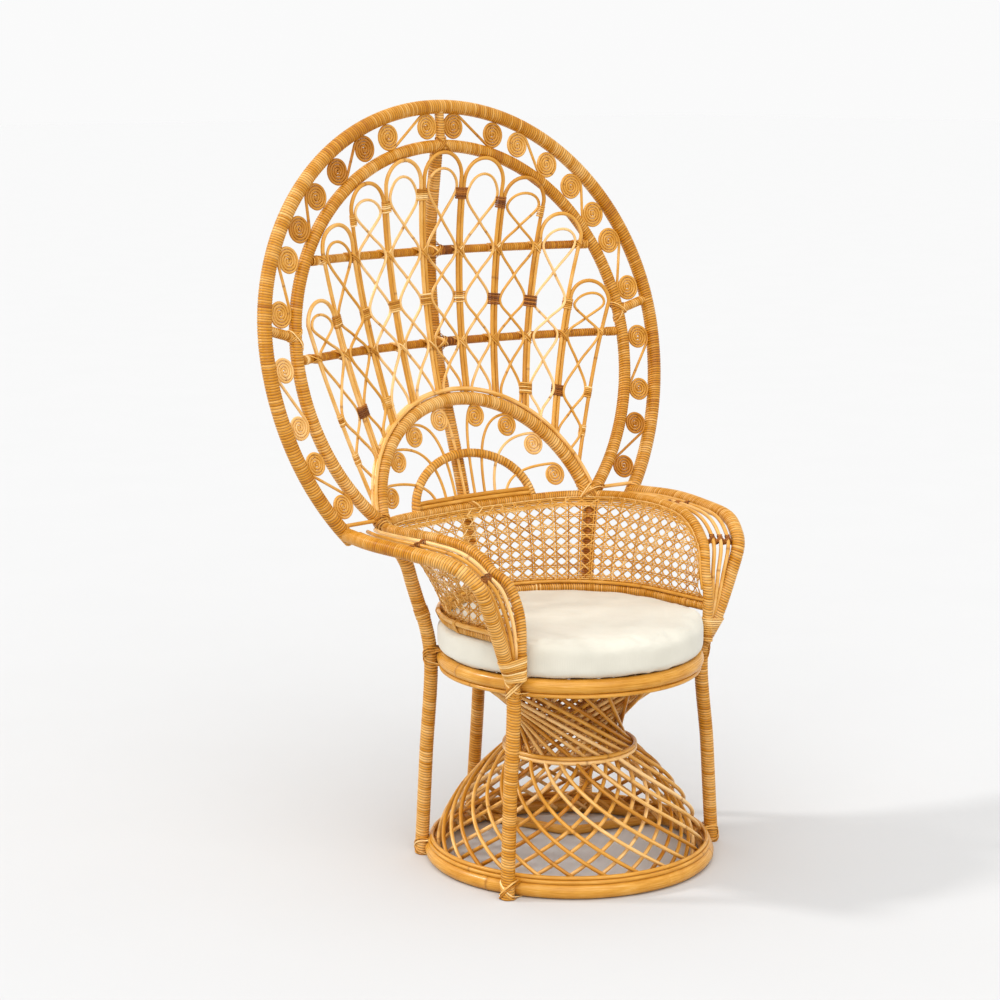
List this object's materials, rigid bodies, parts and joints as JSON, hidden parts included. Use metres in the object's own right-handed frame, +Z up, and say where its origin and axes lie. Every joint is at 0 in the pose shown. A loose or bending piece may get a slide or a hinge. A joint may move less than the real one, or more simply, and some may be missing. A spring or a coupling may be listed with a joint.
{
  "type": "peacock chair",
  "caption": "Rattan peacock chair: a tall fan back of hoops, scrolls and looped canes, bucket arms with a woven cane band, a round cushion and a twisted drum base.",
  "frame": {"origin": "middle of the footprint's bounding box, on the floor", "axes": "+Z up, the chair faces -Y, +X is the sitter's left"},
  "size_m": [1.0474, 0.7398, 1.4998],
  "materials": {
    "wrapped_rattan": "satin peel wrap",
    "bare_rattan": "clear gloss",
    "woven_cane": "satin",
    "cushion_fabric": "plain weave"
  },
  "bodies": {
    "root": {"floor_ring": "bare_rattan", "floor_trim": "bare_rattan", "seat_ring": "bare_rattan", "seat_trim": "bare_rattan", "drum_canes_outer": "bare_rattan", "drum_canes_inner": "bare_rattan", "floor_spreader": "bare_rattan", "seat_deck": "woven_cane", "cushion": "cushion_fabric", "outer_hoop": "wrapped_rattan", "front_post_left": "wrapped_rattan", "front_post_right": "wrapped_rattan", "arm_back_rail": "wrapped_rattan", "inner_hoop": "wrapped_rattan", "rear_leg_left": "wrapped_rattan", "rear_leg_right": "wrapped_rattan", "arm_canes_left": "bare_rattan", "arm_canes_right": "bare_rattan", "band_foot_rail": "wrapped_rattan", "cane_band": "woven_cane", "hoop_strut_top": "wrapped_rattan", "hoop_strut_left": "wrapped_rattan", "hoop_strut_right": "wrapped_rattan", "edge_scroll_left_1": "bare_rattan", "edge_scroll_right_1": "bare_rattan", "edge_scroll_left_2": "bare_rattan", "edge_scroll_right_2": "bare_rattan", "edge_scroll_left_3": "bare_rattan", "edge_scroll_right_3": "bare_rattan", "edge_scroll_left_4": "bare_rattan", "edge_scroll_right_4": "bare_rattan", "edge_scroll_left_5": "bare_rattan", "edge_scroll_right_5": "bare_rattan", "edge_scroll_left_6": "bare_rattan", "edge_scroll_right_6": "bare_rattan", "arch_hoop": "wrapped_rattan", "arch_scrolls": "bare_rattan", "stake_1": "bare_rattan", "loop_1": "bare_rattan", "stake_2": "bare_rattan", "loop_2": "bare_rattan", "stake_3": "bare_rattan", "loop_3": "bare_rattan", "stake_4": "bare_rattan", "loop_4": "bare_rattan", "stake_5": "bare_rattan", "loop_5": "bare_rattan", "stake_6": "bare_rattan", "loop_6": "bare_rattan", "stake_7": "bare_rattan", "loop_7": "bare_rattan", "stake_8": "bare_rattan", "loop_8": "bare_rattan", "stake_9": "bare_rattan", "loop_9": "bare_rattan", "upper_cross_rail": "wrapped_rattan", "lower_cross_rail": "wrapped_rattan", "rear_brace": "wrapped_rattan"}
  },
  "joints": []
}
